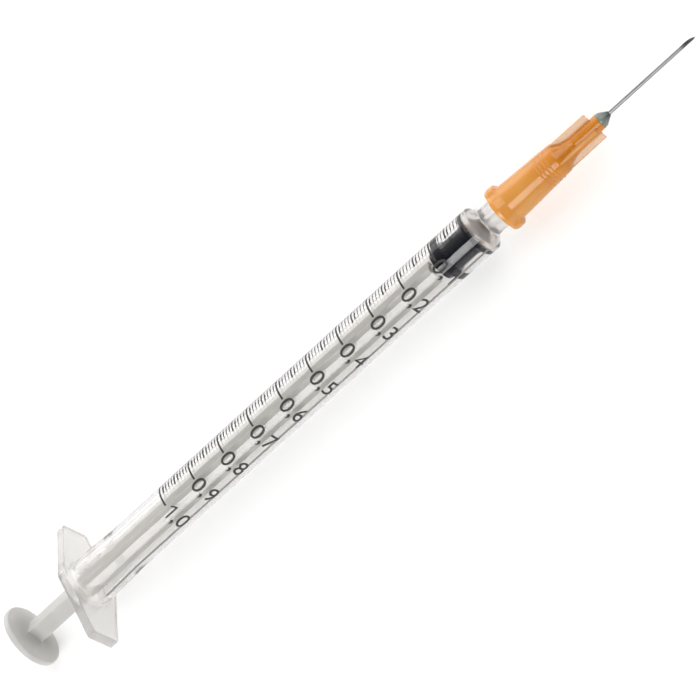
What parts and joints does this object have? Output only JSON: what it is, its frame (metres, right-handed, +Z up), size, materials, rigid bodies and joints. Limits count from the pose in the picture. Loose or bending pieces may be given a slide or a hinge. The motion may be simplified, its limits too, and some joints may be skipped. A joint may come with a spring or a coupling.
{
  "type": "insulin syringe",
  "caption": "Slim disposable syringe: clear barrel with finger flange, sliding plunger with black rubber stopper, and a pull-off fine needle on an orange hub.",
  "frame": {"origin": "centre of the bounding box in X and Y, on the surface that one level edge of the finger flange rests on", "axes": "+X along the syringe towards the needle, +Z up, as the syringe lies on a table on one edge of its finger flange"},
  "size_m": [0.1254, 0.0204, 0.0097],
  "materials": {
    "clear_plastic": "clear, polished moulding",
    "black_rubber": "smooth, lightly oiled",
    "milky_plastic": "milky, satin",
    "orange_plastic": "translucent orange",
    "needle_steel": "drawn and polished",
    "adhesive": "cured, glossy"
  },
  "bodies": {
    "barrel": {"barrel": "clear_plastic"},
    "stopper": {"stopper": "black_rubber"},
    "plunger": {"plunger_rod": "milky_plastic"},
    "needle": {"needle_hub": "orange_plastic", "needle_tube": "needle_steel", "adhesive_bead": "adhesive"}
  },
  "joints": [
    {"name": "plunger_slide", "type": "slide", "parent": "barrel", "child": "stopper", "axis": [-1, 0, 0], "range_m": [0, 0.0623]},
    {"name": "plunger_twist", "type": "hinge", "parent": "stopper", "child": "plunger", "pos_m": [0.01967, 0, 0.00486], "axis": [1, 0, 0], "continuous": true},
    {"name": "needle_pull_off", "type": "slide", "parent": "barrel", "child": "needle", "axis": [1, 0, 0], "range_m": [0, 0.01]}
  ]
}
